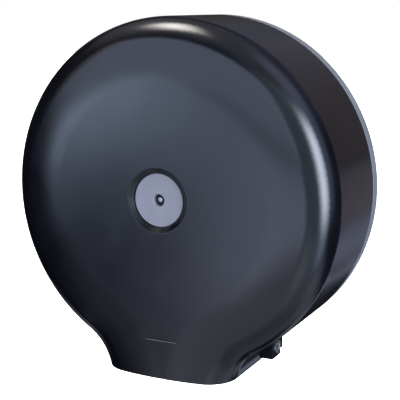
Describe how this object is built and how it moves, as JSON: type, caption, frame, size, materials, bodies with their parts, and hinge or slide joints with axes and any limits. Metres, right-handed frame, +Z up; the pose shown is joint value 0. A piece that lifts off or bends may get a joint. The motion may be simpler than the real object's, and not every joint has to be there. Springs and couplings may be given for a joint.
{
  "type": "toilet paper dispenser",
  "caption": "Round wall-mounted jumbo toilet roll dispenser: dark hinged cover with an open chute and a side key lock, over a grey back plate that carries a turning roll spindle.",
  "frame": {"origin": "on the wall plane, where the roll axis meets it", "axes": "+X right seen from the front, +Y into the wall, +Z up"},
  "size_m": [0.279, 0.111, 0.2739],
  "materials": {
    "cover_plastic": "satin",
    "plate_plastic": "matte",
    "disc_plastic": "satin",
    "black_plastic": "matte",
    "black_rubber": "matte",
    "spindle_plastic": "satin",
    "felt": "matte",
    "steel": "satin",
    "wafer_brass": "satin",
    "lock_zinc": "satin"
  },
  "bodies": {
    "base": {"back_plate": "plate_plastic", "hinge_pin": "steel", "spindle_post": "spindle_plastic", "spindle_screws": "steel", "drag_washer": "felt", "spindle_cap": "black_plastic", "cap_screw": "steel", "lock_strike": "steel", "strike_screws": "steel"},
    "cover": {"front_cover": "cover_plastic", "centre_disc": "disc_plastic", "disc_washer": "black_rubber", "disc_screw": "steel", "disc_retainer": "black_plastic", "lock_case": "black_plastic", "lock_barrel": "lock_zinc", "lock_nut": "lock_zinc", "left_tear_blade": "steel", "right_tear_blade": "steel", "blade_rivets": "black_plastic"},
    "lock_rotor": {"lock_plug": "lock_zinc", "lock_wafers": "wafer_brass", "lock_cam": "steel", "cam_screw": "steel"},
    "roll_sleeve": {"core_sleeve": "spindle_plastic"}
  },
  "joints": [
    {"name": "cover_hinge", "type": "hinge", "parent": "base", "child": "cover", "pos_m": [-0.1398, -0.01025, 0], "axis": [0, 0, -1], "range_deg": [0, 95]},
    {"name": "lock_turn", "type": "hinge", "parent": "cover", "child": "lock_rotor", "pos_m": [0.055, -0.0322, -0.1277], "axis": [1, 0, 0], "range_deg": [0, 90]},
    {"name": "sleeve_spin", "type": "hinge", "parent": "base", "child": "roll_sleeve", "pos_m": [0, -0.05, 0], "axis": [0, 1, 0], "continuous": true}
  ]
}
